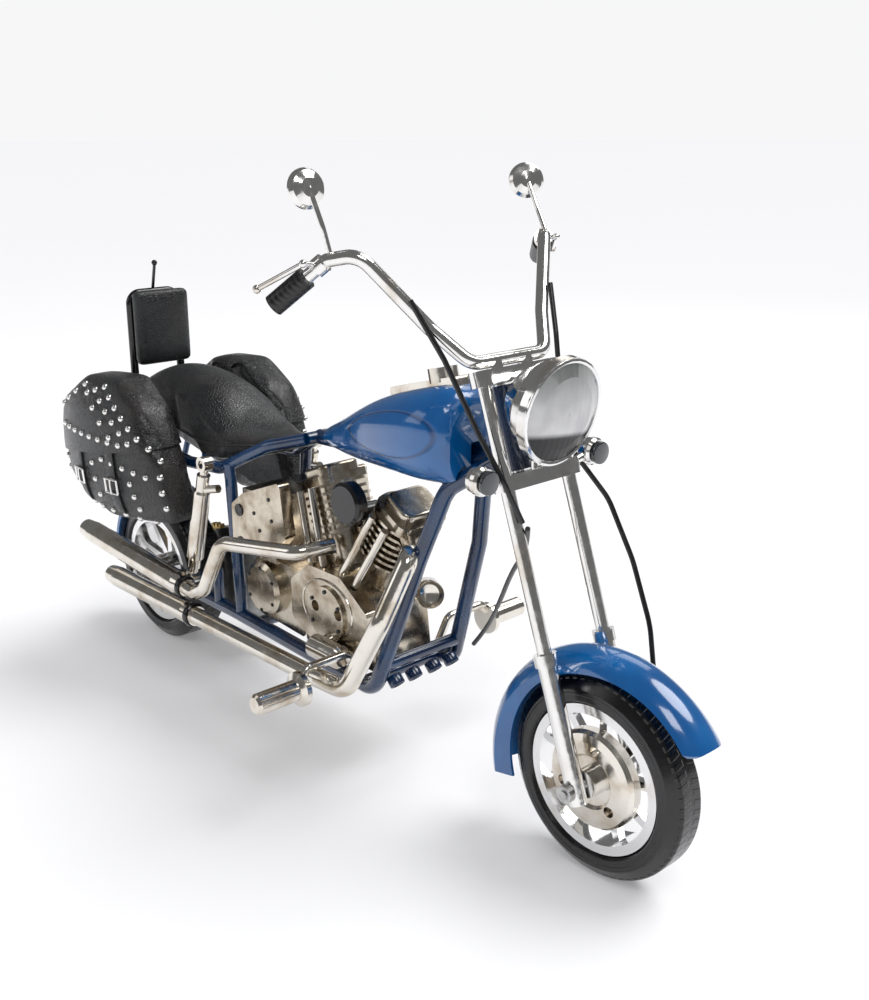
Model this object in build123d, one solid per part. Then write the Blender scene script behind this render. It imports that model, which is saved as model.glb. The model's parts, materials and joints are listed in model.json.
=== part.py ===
# Tin wind-up motorcycle, long-fork chopper style.
# Millimetres. +X is forward, +Y is the rider's left, +Z is up. The origin is on the
# ground, midway between the axles. The wheels stand on z = 0.
from build123d import *
import math
import os

# ---------------------------------------------------------------- driving dimensions
wheelbase = 270.0
tyre_radius = 35.0
front_tyre_width = 15.0
rear_tyre_width = 20.0
rim_radius = 24.6              # where the tyre sits on the rim
spoke_count = 9

rake = 19.1                    # fork lean from upright, degrees
fork_spacing = 14.5            # fork leg from the centre plane
fork_offset = 8.0              # steering axis behind the fork legs
slider_radius = 3.2
stanchion_radius = 2.4
slider_length = 45.0           # axle to the top of the slider
lower_clamp_at = 100.7         # along the fork, from the axle
upper_clamp_at = 134.5
clamp_thickness = 5.0
head_tube_radius = 4.6
stem_radius = 2.0

frame_tube = 3.0               # radius of the main frame tubes
rail_tube = 2.5                # radius of the seat rails and posts
rail_height = 38.0             # centre of the lower rails above the ground
rail_half_width = 20.0

front_axle_radius = 1.5
rear_axle_radius = 2.0
running_clearance = 0.05       # radial, wherever something turns
body_clearance = 0.3           # between pieces that only lie beside each other

crank_x = 14.0
crank_z = 58.0
crankcase_radius = 19.0
crankcase_half_width = 14.0
front_bank = 30.0              # cylinder lean, degrees
rear_bank = -22.0
barrel_radius = 9.0
fin_radius = 13.0
fin_count = 7
fin_start = 31.0               # from the crank centre
fin_pitch = 3.0
fin_thickness = 1.2
head_height = 7.5

tank_bottom = 120.5
muffler_y = 38.0
upper_muffler_radius = 5.0
lower_muffler_radius = 4.65
peg_radius = 4.0
peg_x = 33.0
peg_z = 44.6
peg_end = 67.7                 # outer end from the centre plane
peg_start = 47.0

bag_front = -66.0
bag_rear = -155.0
bag_bottom = 74.0
bag_top = 137.0
bag_inner = 22.9
bag_outer = 47.0

sheet = 1.0                    # tinplate thickness
gear_module = 1.0
pinion_teeth = 12
second_teeth = 30
great_teeth = 36
tooth_thinning = 0.1           # taken off each tooth at the pitch circle

# ------------------------------------------------------------------- derived places
front_axle = Vector(wheelbase / 2, 0, tyre_radius)
rear_axle = Vector(-wheelbase / 2, 0, tyre_radius)
tilt = math.radians(rake)
fork_up = Vector(-math.sin(tilt), 0, math.cos(tilt))
fork_forward = Vector(math.cos(tilt), 0, math.sin(tilt))
steer_base = front_axle - fork_forward * fork_offset
left = Vector(0, 1, 0)

parts = {}


# -------------------------------------------------------------------------- helpers
def rod(start, end, radius):
    """A straight round bar between two points."""
    start, end = Vector(*start), Vector(*end)
    bar = Cylinder(radius, (end - start).length, align=(Align.CENTER, Align.CENTER, Align.MIN))
    return Plane(start, z_dir=end - start) * bar


def bent(points, radius, bend):
    """A round bar bent along a run of points."""
    path = FilletPolyline(*points, radius=bend)
    return sweep(Plane(path @ 0, z_dir=path % 0) * Circle(radius), path)


def turned(profile, base, direction):
    """A profile of (radius, height) points turned about an axis."""
    face = Plane.XZ * Polygon(*profile, align=None)
    return Plane(base, z_dir=direction) * revolve(face, Axis.Z)


def slab(sketch, y_from, y_to):
    """A sketch drawn in X and Z, as a plate between two places across the bike."""
    plane = Plane((0, y_from, 0), x_dir=(1, 0, 0), z_dir=(0, -1, 0))
    return extrude(plane * sketch, amount=y_to - y_from, dir=(0, 1, 0))


def across(x, z, radius, y_from, y_to):
    """A round bar that lies across the bike."""
    return rod((x, y_from, z), (x, y_to, z), radius)


def flipped(shape):
    """The same piece on the other side of the centre plane."""
    return mirror(shape, about=Plane.XZ)


def both(shape):
    """A right piece and its left twin, as two solids."""
    return Compound(children=[Compound(shape.solids()), Compound(flipped(shape).solids())])


def fork_point(along, side=0.0, forward=0.0):
    """A point on the fork: up from the axle, to the left, and ahead of the legs."""
    return front_axle + fork_up * along + left * side + fork_forward * forward


def hull_plate(circles, y_from, y_to):
    """A plate with the outline of a belt around (x, z, radius) circles."""
    edges = Sketch() + [Pos(x, z) * Circle(r) for x, z, r in circles]
    return slab(make_hull(edges.edges()), y_from, y_to)


def gear(teeth, centre, phase, y_from, y_to):
    """An involute spur gear across the bike, with one tooth at the phase angle."""
    pitch = gear_module * teeth / 2
    base = pitch * math.cos(math.radians(20))
    tip = pitch + 0.8 * gear_module
    root = pitch - 1.1 * gear_module
    involute = lambda r: math.tan(math.acos(min(1, base / r))) - math.acos(min(1, base / r))
    half = math.pi / (2 * teeth) - tooth_thinning / (2 * pitch) + involute(pitch)
    start = max(base, root)
    flank = [(start + (tip - start) * k / 4) for k in range(5)]
    outline = []
    for tooth in range(teeth):
        middle = math.radians(phase) + 2 * math.pi * tooth / teeth
        rise = [(root, -half)] + [(r, -half + involute(r)) for r in flank]
        fall = [(r, -a) for r, a in reversed(rise)]
        outline += [(r * math.cos(middle + a), r * math.sin(middle + a)) for r, a in rise + fall]
    face = make_face(Polyline(*outline, close=True))
    return slab(Pos(centre.X, centre.Z) * face, y_from, y_to)


def save(name, shape):
    parts[name] = shape


# --------------------------------------------------------------------------- wheels
def tyre(axle, width, tread):
    """A tyre with a flat tread, round shoulders and beads inside the rim lips."""
    half = width / 2
    seat = half - 2.0
    outline = Polygon(
        (rim_radius, -seat), (rim_radius + 1.4, -seat), (rim_radius + 2.4, -half), (tyre_radius - 4.0, -half),
        (tyre_radius, -tread), (tyre_radius, tread), (tyre_radius - 4.0, half), (rim_radius + 2.4, half),
        (rim_radius + 1.4, seat), (rim_radius, seat), align=None)
    shoulders = [v for v in outline.vertices() if v.X > rim_radius + 2.0]
    outline = fillet(shoulders, 0.9)
    plane = Plane(axle, x_dir=(1, 0, 0), z_dir=(0, 0, 1))
    return revolve(plane * outline, Axis(tuple(axle), (0, 1, 0)))


def wheel_rim(axle, width, hub_radius, hub_from, hub_to, bore):
    """A rim with lips, flat tapered spokes and a hub."""
    seat = width / 2 - 2.0
    lip = seat + 0.8
    ring = turned([(rim_radius - 1.9, -lip), (rim_radius + 1.3, -lip), (rim_radius + 1.3, -seat), (rim_radius, -seat),
                   (rim_radius, seat), (rim_radius + 1.3, seat), (rim_radius + 1.3, lip), (rim_radius - 1.9, lip)],
                  axle, left)
    hub = across(axle.X, axle.Z, hub_radius, hub_from, hub_to)
    spokes = Part()
    for k in range(spoke_count):
        spoke = Polygon((hub_radius - 1.0, -1.9), (rim_radius - 1.2, -1.3), (rim_radius - 1.2, 1.3),
                        (hub_radius - 1.0, 1.9), align=None)
        spokes += slab(Pos(axle.X, axle.Z) * Rot(0, 0, 90 + 360 * k / spoke_count) * spoke, -1.5, 1.5)
    wheel = ring + hub + spokes
    return wheel - across(axle.X, axle.Z, bore, hub_from - 1, hub_to + 1)


front_hub_end = fork_spacing - slider_radius - 0.4
front_hub_radius = 5.0
save("front_tyre", tyre(front_axle, front_tyre_width, 4.5))
save("front_wheel_rim", wheel_rim(front_axle, front_tyre_width, front_hub_radius, -front_hub_end, front_hub_end,
                                  front_axle_radius + running_clearance))

cover_radius = 17.3
cover = turned([(front_hub_radius, 2.0), (15.5, 2.0), (cover_radius, 2.8), (cover_radius, 6.0), (16.2, 7.4),
                (13.5, 8.0), (9.5, 8.2), (8.5, 7.0), (front_hub_radius, 7.0)], front_axle, -left)
for k in range(3):
    turn = math.radians(200 + 120 * k)
    cover -= across(front_axle.X + 11.5 * math.cos(turn), front_axle.Z + 11.5 * math.sin(turn), 1.9, -9, -1)
save("front_hub_cover", cover)

rail_end_y = 14.0              # right lower rail beside the rear wheel
rear_hub_radius = 6.0
rear_hub_right = -(rail_end_y - frame_tube - 0.4)
rear_hub_left = 10.4
save("rear_tyre", tyre(rear_axle, rear_tyre_width, 7.0))
save("rear_wheel_rim", wheel_rim(rear_axle, rear_tyre_width, rear_hub_radius, rear_hub_right, rear_hub_left,
                                 rear_axle_radius + running_clearance))

# -------------------------------------------------------------------- winding motor
# The two plates stand left of the rear wheel. The great wheel turns the second
# wheel's pinion, and the second wheel turns the pinion on the rear hub.
inner_plate = (11.3, 12.3)
rear_pinion_at = (13.0, 17.0)
second_wheel_at = (13.8, 16.2)
second_pinion_at = (16.6, 20.2)
great_wheel_at = (17.4, 19.8)
ratchet_at = (20.5, 22.3)
spring_at = (23.0, 28.4)
outer_plate = (29.2, 30.2)
second_angle = 18.0
great_angle = -6.0
second_reach = gear_module * (pinion_teeth + second_teeth) / 2
great_reach = gear_module * (pinion_teeth + great_teeth) / 2


def step(start, reach, angle):
    turn = math.radians(angle)
    return start + Vector(reach * math.cos(turn), 0, reach * math.sin(turn))


second_axis = step(rear_axle, second_reach, second_angle)
great_axis = step(second_axis, great_reach, great_angle)
great_tip = gear_module * (great_teeth / 2 + 0.8)
pillar_radius = 1.5
pillar_ring = great_tip + pillar_radius + 0.3
plate_ring = pillar_ring + 2.2
arbor_radius = 2.5
pivot_radius = 1.5

pinion = gear(pinion_teeth, rear_axle, second_angle, *rear_pinion_at)
pinion += across(rear_axle.X, rear_axle.Z, 4.0, rear_hub_left, rear_pinion_at[0])
save("rear_pinion", pinion - across(rear_axle.X, rear_axle.Z, rear_axle_radius + running_clearance, 9, 18))

second = gear(second_teeth, second_axis, second_angle + 180 + 180 / second_teeth, *second_wheel_at)
for k in range(5):
    hole = step(second_axis, 9.5, 72 * k + 36)
    second -= across(hole.X, hole.Z, 2.6, 13, 17)
second += gear(pinion_teeth, second_axis, great_angle, *second_pinion_at)
second += across(second_axis.X, second_axis.Z, 3.2, inner_plate[1] + 0.3, outer_plate[0] - 0.3)
second += across(second_axis.X, second_axis.Z, pivot_radius, inner_plate[0] - 0.3, outer_plate[1] + 0.5)
save("intermediate_gear", second)

great = gear(great_teeth, great_axis, great_angle + 180 + 180 / great_teeth, *great_wheel_at)
for k in range(6):
    hole = step(great_axis, 12.0, 60 * k)
    great -= across(hole.X, hole.Z, 3.0, 17, 20)
great -= across(great_axis.X, great_axis.Z, arbor_radius + running_clearance, 17, 20)
click_pivot_ring = 12.0
click_angle = 150.0
click_pivot = step(great_axis, click_pivot_ring, click_angle)
click_pin = 0.9
great += across(click_pivot.X, click_pivot.Z, click_pin, great_wheel_at[1], ratchet_at[1] + 0.4)
save("great_wheel", great)

ratchet_tip = 6.2
ratchet_root = 5.0
ratchet_teeth = 12
saw = []
for k in range(ratchet_teeth):
    turn = 2 * math.pi * k / ratchet_teeth
    back = turn + 2 * math.pi / ratchet_teeth * 0.98
    saw += [(ratchet_tip * math.cos(turn), ratchet_tip * math.sin(turn)),
            (ratchet_root * math.cos(back), ratchet_root * math.sin(back))]
ratchet = slab(Pos(great_axis.X, great_axis.Z) * make_face(Polyline(*saw, close=True)), *ratchet_at)
key_start = outer_plate[1] + 1.2
key_wing = 11.0
arbor = across(great_axis.X, great_axis.Z, pivot_radius, inner_plate[0] - 0.3, inner_plate[1] + 0.2)
arbor += across(great_axis.X, great_axis.Z, arbor_radius, inner_plate[1] + 0.2, outer_plate[0] - 0.2)
arbor += across(great_axis.X, great_axis.Z, rear_axle_radius, outer_plate[0] - 0.2, key_start + 8.0)
save("winding_arbor", arbor + ratchet)
handle = across(great_axis.X, great_axis.Z, 3.2, key_start, key_start + 9.0)
for side in (-1, 1):
    wing = Pos(great_axis.X, key_start + 12.0, great_axis.Z + side * key_wing * 0.55)
    loop = Cylinder(6.2, 2.0, rotation=(0, 90, 0)) - Cylinder(2.6, 3.0, rotation=(0, 90, 0))
    handle += wing * loop
handle += Pos(great_axis.X, key_start + 10.5, great_axis.Z) * Box(2.0, 5.0, 5.0)
handle -= across(great_axis.X, great_axis.Z, rear_axle_radius, key_start - 1, key_start + 8.0)
save("winding_key", handle)

tip_gap = 0.15
click_root = 2.0
click_nose = 0.5
nose_ring = ratchet_tip + tip_gap + click_nose
nose = step(great_axis, nose_ring, click_angle - math.degrees(math.acos(nose_ring / click_pivot_ring)))
click = hull_plate([(click_pivot.X, click_pivot.Z, click_root), (nose.X, nose.Z, click_nose)],
                   ratchet_at[0] - 0.3, ratchet_at[1] - 0.3)
save("click", click - across(click_pivot.X, click_pivot.Z, click_pin + running_clearance, 19, 24))

spring_turns = 5
spring_inner = arbor_radius + 0.6
spring_outer = pillar_ring - pillar_radius - 0.5
strip = 0.7
inside, outside = [], []
for k in range(spring_turns * 24 + 1):
    turn = 2 * math.pi * k / 24 + math.radians(40)
    reach = spring_inner + (spring_outer - strip - spring_inner) * k / (spring_turns * 24)
    inside.append((reach * math.cos(turn), reach * math.sin(turn)))
    outside.append(((reach + strip) * math.cos(turn), (reach + strip) * math.sin(turn)))
coil = make_face(Polyline(*inside, *reversed(outside), close=True))
save("mainspring", slab(Pos(great_axis.X, great_axis.Z) * coil, *spring_at))

pillars = [step(great_axis, pillar_ring, a) for a in (40, -40, 120)] + [rear_axle - Vector(9.6, 0, 0)]
save("motor_pillars", Compound(children=[across(p.X, p.Z, pillar_radius, inner_plate[1], outer_plate[0])
                                         for p in pillars]))
plate_circles = [(rear_axle.X, rear_axle.Z, 12.0), (great_axis.X, great_axis.Z, plate_ring),
                 (great_axis.X + plate_ring + 5.0, rail_height, 4.5)]
plate = hull_plate(plate_circles, *inner_plate)
plate -= across(rear_axle.X, rear_axle.Z, 7.0, 11, 13)
plate -= across(second_axis.X, second_axis.Z, pivot_radius + running_clearance, 11, 13)
save("motor_inner_plate", plate - across(great_axis.X, great_axis.Z, pivot_radius + running_clearance, 11, 13))
cover_plate = hull_plate(plate_circles[:2], *outer_plate)
cover_plate -= across(rear_axle.X, rear_axle.Z, rear_axle_radius, 29, 31)
cover_plate -= across(second_axis.X, second_axis.Z, pivot_radius + running_clearance, 29, 31)
cover_plate -= across(great_axis.X, great_axis.Z, rear_axle_radius + running_clearance, 29, 31)
for angle in (40, 140, 220, 320):
    window = step(great_axis, 11.5, angle)
    cover_plate -= across(window.X, window.Z, 4.5, 29, 31)
save("motor_outer_plate", cover_plate)

# ---------------------------------------------------------------------------- frame
head_low = lower_clamp_at + clamp_thickness / 2 + body_clearance
head_high = upper_clamp_at - clamp_thickness / 2 - body_clearance
steer_point = lambda along: steer_base + fork_up * along
spine_path = [tuple(steer_point(head_low + 9)), (66, 0, 124.2), (-14, 0, 121.5)]
spine = rod(tuple(steer_point(head_low)), tuple(steer_point(head_high)), head_tube_radius)
spine += bent(spine_path, frame_tube, 20)
rail_front_y = 6.5
spine += across(-14, 121.5, rail_tube, -rail_front_y, rail_front_y)
stem_bore = rod(tuple(steer_point(head_low - 5)), tuple(steer_point(head_high + 5)), stem_radius + running_clearance)
spine -= stem_bore
save("frame_spine", spine)

low_bend = Vector(42, -rail_half_width, rail_height)
knee = Vector(61, -15, 93)
joint_point = knee + (low_bend - knee) * 0.873
downtube_path = [(88.5, -3.2, 133.5), (69, -9, 120), tuple(knee), tuple(joint_point)]
downtube = bent(downtube_path, frame_tube, 12)
cross = across(joint_point.X + 1.2, 48.5, rail_tube, -19, 19)
save("downtubes", (downtube + flipped(downtube) + cross) - spine - stem_bore)

shock_y = 28.0
shock_top = Vector(-55.0, -shock_y, 107.0)
shock_low = Vector(-69.6, -shock_y, 54.0)
shock_radius = 3.6
post_y = 15.6
rail_path = [tuple(joint_point), tuple(low_bend), (-58, -post_y, rail_height)]


def rail_side(path):
    """A lower rail with the upright post and the pin that carries a shock absorber."""
    rail = bent(path, frame_tube, 8)
    post = bent([(-52, -post_y, rail_height), (-50, -19.2, 101.0), (-50.0, -19.9, 107.0)], rail_tube, 30)
    stand = rod((shock_low.X, -post_y, rail_height), (shock_low.X, -post_y, shock_low.Z), 2.2)
    pin = rod((shock_low.X, -post_y, shock_low.Z), (shock_low.X, -shock_y + 2.2, shock_low.Z), 1.6)
    return rail + post + stand + pin


right_rail = rail_side(rail_path + [(-100, -rail_end_y, 36.6), (rear_axle.X, -rail_end_y, rear_axle.Z)])
lug_half = frame_tube - 0.2
right_rail += across(rear_axle.X, rear_axle.Z, 5.0, -rail_end_y - lug_half, -rail_end_y + lug_half)
left_rail = flipped(rail_side(rail_path + [(-71.5, -post_y, rail_height)]))
stand_x = -56.0
stand_z = rail_height - 6.5
stand_y = 23.2
stand_pin = 1.2
left_rail += slab(Pos(stand_x, stand_z + 1.5) * Rectangle(5.0, 9.0), stand_y - 4.6, stand_y - body_clearance)
left_rail += across(stand_x, stand_z, stand_pin, stand_y - 1.0, stand_y + 3.4)
rails = right_rail + left_rail
for x in (34.0, -40.0):
    rails += across(x, rail_height, rail_tube, -18, 18)
rails -= across(rear_axle.X, rear_axle.Z, rear_axle_radius, -20, -8)

seat_rail_path = [(-14, -rail_front_y, 121.5), (-30, -14, 117), (-56, -20, 103.5), (-80, -20, 101.5),
                  (-138, -18, 105.5)]
seat_rail = bent(seat_rail_path, rail_tube, 9)
seat_rail += rod((-54, -20.5, 104.8), (shock_top.X, -shock_y + 2.2, shock_top.Z), 1.6)
seat_rails = (seat_rail + flipped(seat_rail)) - spine
save("seat_rails", seat_rails)
save("lower_rails", rails - seat_rails)

# --------------------------------------------------------------------------- engine
crank = Vector(crank_x, 0, crank_z)
case_floor = rail_height + rail_tube + 0.1
case = across(crank.X, crank.Z, crankcase_radius, -crankcase_half_width, crankcase_half_width)
case += slab(Polygon((-8, case_floor), (36, case_floor), (33, 64), (-8, 64), align=None),
             -crankcase_half_width, crankcase_half_width)
case -= Pos(crank.X, 0, case_floor - 10) * Box(90, 60, 20)


def bank_direction(lean):
    turn = math.radians(lean)
    return Vector(math.sin(turn), 0, math.cos(turn))


def cylinder(lean):
    """A barrel with cooling fins, standing on the crankcase."""
    direction = bank_direction(lean)
    plane = Plane(crank, x_dir=(0, 1, 0), z_dir=direction)
    top = fin_start + fin_pitch * (fin_count - 1) + fin_thickness
    shape = Cylinder(barrel_radius, top - 10, align=(Align.CENTER, Align.CENTER, Align.MIN)).moved(Pos(0, 0, 10))
    for k in range(fin_count):
        fin = Cylinder(fin_radius, fin_thickness, align=(Align.CENTER, Align.CENTER, Align.MIN))
        shape += fin.moved(Pos(0, 0, fin_start + fin_pitch * k))
    return plane * shape - case


def rocker_box(lean):
    """The head and rocker cover on top of a cylinder."""
    direction = bank_direction(lean)
    plane = Plane(crank, x_dir=(0, 1, 0), z_dir=direction)
    top = fin_start + fin_pitch * (fin_count - 1) + fin_thickness
    lower = Box(23, 19, head_height * 0.45, align=(Align.CENTER, Align.CENTER, Align.MIN))
    upper = Box(19, 15, head_height * 0.55, align=(Align.CENTER, Align.CENTER, Align.MIN))
    lower = fillet(lower.edges().filter_by(Axis.Z), 4)
    upper = fillet(upper.edges().filter_by(Axis.Z), 4)
    upper = fillet(upper.faces().sort_by(Axis.Z)[-1].edges(), 1.5)
    return plane * (Pos(0, 0, top) * (lower + Pos(0, 0, head_height * 0.45) * upper))


save("engine_crankcase", case)
save("front_cylinder", cylinder(front_bank))
save("rear_cylinder", cylinder(rear_bank) - parts["front_cylinder"])
save("rocker_boxes", Compound(children=[rocker_box(front_bank), rocker_box(rear_bank)]))

cam_y = (-crankcase_half_width - 6.0, -crankcase_half_width)
cam_outline = Polygon((-9, 52), (-9, 68), (2, 77), (22, 77), (38, 66), (36, 52), (26, 46.5), (2, 46.5), align=None)
cam = slab(fillet(cam_outline.vertices(), 3), *cam_y)
cam += across(crank.X, crank.Z + 2, 11, cam_y[0] - 1.2, cam_y[0])
for x in (8.0, 22.0):
    cam -= across(x, crank.Z + 4, 2.2, cam_y[0] - 2, cam_y[0] + 2)
save("cam_cover", cam)

tube_rods = []
for lean, foots in ((rear_bank, (0.5, 8.0)), (front_bank, (19.5, 27.0))):
    direction = bank_direction(lean)
    for foot, shift in zip(foots, (-4.0, 4.0)):
        low = Vector(foot, -16.6, 76.9 if foot < 22 else 74.4)
        across_bank = Vector(direction.Z, 0, -direction.X)
        high = crank + direction * 50.0 + across_bank * shift + Vector(0, -14.6, 0)
        tube_rods.append(rod(tuple(low), tuple(high), 1.5))
heads = parts["rocker_boxes"]
save("pushrod_tubes", Compound(children=[one - cam - heads for one in tube_rods]))

cleaner_x = 25.5
cleaner_z = 106.5
cleaner = turned([(0, 0), (7.0, 0), (8.2, 1.0), (8.2, 5.0), (7.0, 6.0), (0, 6.0)],
                 (cleaner_x, -14.2, cleaner_z), -left)
cleaner += rod((cleaner_x, -14.2, cleaner_z), (17, -8, 98.5), 2.6) + rod((17, -8.5, 98.5), (17, 3, 98), 3.6)
save("air_cleaner", cleaner - parts["front_cylinder"] - parts["rear_cylinder"])

gearbox_top = 69.0
gearbox = slab(fillet(Polygon((-45.5, 43), (-8.6, case_floor), (-8.6, 66), (-20, gearbox_top),
                               (-40, gearbox_top), (-45.5, 62),
                              align=None).vertices(), 2.5), -crankcase_half_width, crankcase_half_width)
gearbox += turned([(0, 0), (11.5, 0), (11.5, 3.0), (9.5, 4.5), (0, 4.5)], (-33, -crankcase_half_width, 56), -left)
save("gearbox", gearbox - case)
primary = hull_plate([(crank.X, crank.Z, 15.0), (-32, 56, 11.5)], crankcase_half_width, crankcase_half_width + 2.6)
save("primary_cover", primary)
filter_body = turned([(0, 0), (4.0, 0), (4.6, 0.8), (4.6, 16), (3.2, 18), (0, 18)], (12, -25.5, 48.2), (1, 0, 0))
filter_body += rod((17, -25.5, 50), (17, cam_y[0], 51), 2.0)
save("oil_filter", filter_body - cam)

box_rear = -46.0
box_top = 97.0
box_floor = gearbox_top + 0.2
battery = Pos(-34, 0, (box_floor + box_top) / 2) * Box(22.0, 34.0, box_top - box_floor)
side_panel = Polygon((box_rear, 73), (box_rear, 91), (-38, 97), (-12, 107), (-9, 85), (-14, 80), align=None)
battery += slab(fillet(side_panel.vertices(), 2), -22.0, -17.0)
battery += slab(fillet(side_panel.vertices(), 2), 17.0, 22.0)
save("battery_box", battery)

# ------------------------------------------------------------------------- exhausts
upper_muffler_z = (54.5, 59.5)
lower_muffler_z = (43.6, 42.6)
upper_start = Vector(-58, -muffler_y, upper_muffler_z[0])
upper_end = Vector(-145, -muffler_y, upper_muffler_z[1])
lower_start = Vector(-52, -muffler_y, lower_muffler_z[0])
lower_end = Vector(-124, -muffler_y, lower_muffler_z[1])


def muffler(start, end, radius, neck):
    """A closed silencer with a shouldered front and a hollow tail."""
    length = (end - start).length
    body = turned([(0, 0), (neck + 0.8, 0), (neck + 0.8, 3), (radius, 7), (radius, length - 7),
                   (radius - 0.7, length), (radius - 2.0, length), (radius - 2.0, length - 9), (0, length - 9)],
                  tuple(start), tuple(end - start))
    return body


save("mufflers", Compound(children=[muffler(upper_start, upper_end, upper_muffler_radius, 3.0),
                                    muffler(lower_start, lower_end, lower_muffler_radius, 3.4)]))
rear_pipe = bent([(11, -13.6, 85.5), (6, -28, 84.5), (-33, -36, 80.5), (-44.5, -muffler_y, 58),
                  (-52.0, -muffler_y, upper_muffler_z[0] - 0.35), tuple(upper_start)], 3.0, [6, 9, 7, 5])
for piece in ("rear_cylinder", "front_cylinder", "pushrod_tubes", "mufflers"):
    rear_pipe -= parts[piece]
save("exhaust_pipe_rear", rear_pipe)
front_pipe = bent([(48, -9, 94), (62, -20, 96), (58.5, -31, 73), (46, -37, 44.9), (28, -muffler_y, 44.71),
                   tuple(lower_start)], 3.6, [5, 12, 8, 12])
save("exhaust_pipe_front", front_pipe - parts["front_cylinder"] - parts["downtubes"] - parts["mufflers"])

# --------------------------------------------------------------------- foot controls
peg = turned([(0, 0), (6.5, 0), (6.5, 2.0), (peg_radius, 3.2), (peg_radius, 19.7), (peg_radius - 1, 20.7), (0, 20.7)],
             (peg_x, -peg_start, peg_z), -left)
peg += bent([(peg_x, -rail_half_width + 0.6, rail_height + 2.0), (peg_x, -26, 51.6), (peg_x, -44, 51.6),
             (peg_x, -peg_start - 0.5, 48.5)], 1.7, [4, 3])
save("foot_pegs", both(peg - rails - cam))


def shock():
    """A chrome damper with an eye at each end."""
    line = shock_top - shock_low
    length = line.length
    body = turned([(0, 5), (2.6, 5), (2.6, 9), (shock_radius, 10), (shock_radius, length - 13),
                   (2.8, length - 12), (2.8, length - 5), (0, length - 5)], tuple(shock_low), tuple(line))
    low_eye = across(shock_low.X, shock_low.Z, 3.0, -shock_y - 2.1, -shock_y + 2.1)
    top_eye = across(shock_top.X, shock_top.Z, 3.3, -shock_y - 2.1, -shock_y + 2.1)
    stub = rod(tuple(shock_low + line * 0.78), tuple(shock_low + line * 0.80 + Vector(9, 2.0, 1)), 1.7)
    neck = rod(tuple(shock_low), tuple(shock_low + line * 0.15), 1.8)
    neck += rod(tuple(shock_low + line * 0.85), tuple(shock_top), 1.8)
    eyes = across(shock_top.X, shock_top.Z, 1.7, -40, 0) + across(shock_low.X, shock_low.Z, 1.7, -40, 0)
    return body + low_eye + top_eye + stub + neck - eyes


save("shock_absorbers", both(shock()))

# ------------------------------------------------------------------- tank and seat
def tank_section(x, half_width, height):
    plane = Plane((x, 0, tank_bottom + height / 2), x_dir=(0, 1, 0), z_dir=(1, 0, 0))
    return plane * RectangleRounded(2 * half_width, height, min(half_width, height / 2) * 0.86)


tank_shape = [(-10, 2.2, 3.0), (4, 8.5, 11.0), (22, 14.5, 20.0), (42, 18.8, 28.5), (60, 20.0, 33.5),
              (71, 17.5, 33.5), (75, 13.5, 29.0)]
tank = loft([tank_section(*row) for row in tank_shape])
tunnel = Polygon((-20, 118), (-20, 125.8), (62, 128.2), (82, 141), (82, 118), align=None)
tank -= slab(tunnel, -frame_tube - 0.6, frame_tube + 0.6)
notch = bent(downtube_path, frame_tube + 0.5, 12)
tank -= notch + flipped(notch)
save("fuel_tank", tank)
console = Pos(51, 0, 151.5) * Rot(0, -14.5, 0) * Box(34, 9, 4.6)
console = fillet(console.edges().filter_by(Axis.Y), 1.2)
cap = rod((58.2, 0, 154.5), (57.0, 0, 159.4), 5.4)
save("tank_console", (console + cap) - tank - slab(tunnel, -4, 4))

seat_side = Polyline((-25, 119.5), (-25, 116.0), (-50, 107.5), (-66, 104.6), (-133.5, 108.6), (-133.5, 129))
seat_top = Spline((-133.5, 129), (-122, 135), (-92, 137.5), (-72, 131), (-60, 121), (-50, 117), (-38, 117.6),
                  (-25, 119.5))
seat_profile = make_face(seat_side.edges() + seat_top.edges())
seat_plan = Polygon((-25, -9), (-40, -14), (-56, -20), (-72, -20), (-96, -16), (-133.5, -15.5),
                    (-133.5, 15.5), (-96, 16), (-72, 20), (-56, 20), (-40, 14), (-25, 9), align=None)
seat_plan = fillet(seat_plan.vertices(), 4)
seat = slab(seat_profile, -24, 24) & extrude(Plane.XY.offset(95) * seat_plan, amount=60, dir=(0, 0, 1))
rail_room = bent(seat_rail_path, rail_tube + body_clearance, 9)
seat -= rail_room + flipped(rail_room)
save("seat", seat)

pad = Pos(-130.5, 0, 151.8) * Box(7.6, 28, 34)
save("backrest_pad", fillet(pad.edges(), 2.5))
hoop_x = -136.6
hoop = bent([(-135.2, -18.05, 107.7), (hoop_x, -12, 128), (hoop_x, -12, 167), (hoop_x, 12, 167),
             (hoop_x, 12, 128), (-135.2, 18.05, 107.7)], 1.8, [10, 5, 5, 10])
aerial = rod((hoop_x, 0, 168.0), (-133.5, 0, 179.5), 0.7) + Pos(-133.5, 0, 180.2) * Sphere(1.3)
save("sissy_bar", (hoop + aerial) - seat_rails)

# ---------------------------------------------------------------------------- bags
bag_outline = Polygon((bag_front, bag_bottom + 4), (-112, bag_bottom - 1), (bag_rear + 6, bag_bottom + 12),
                      (bag_rear, 100), (bag_rear + 4, 122), (-128, bag_top - 2), (-103, bag_top),
                      (bag_front - 20, bag_top - 11), (bag_front - 7, bag_top - 32), align=None)
bag_face = fillet(bag_outline.vertices(), 6)
bag = slab(bag_face, -bag_outer, -bag_inner)
bag = fillet(bag.faces().sort_by(Axis.Y)[0].edges(), 3.5)
save("saddlebag_right", bag)
save("saddlebag_left", flipped(bag))

# -------------------------------------------------------------------------- fenders
crown_drop = 0.6               # rise of a mudguard's crown, as a share of its half width


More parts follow.
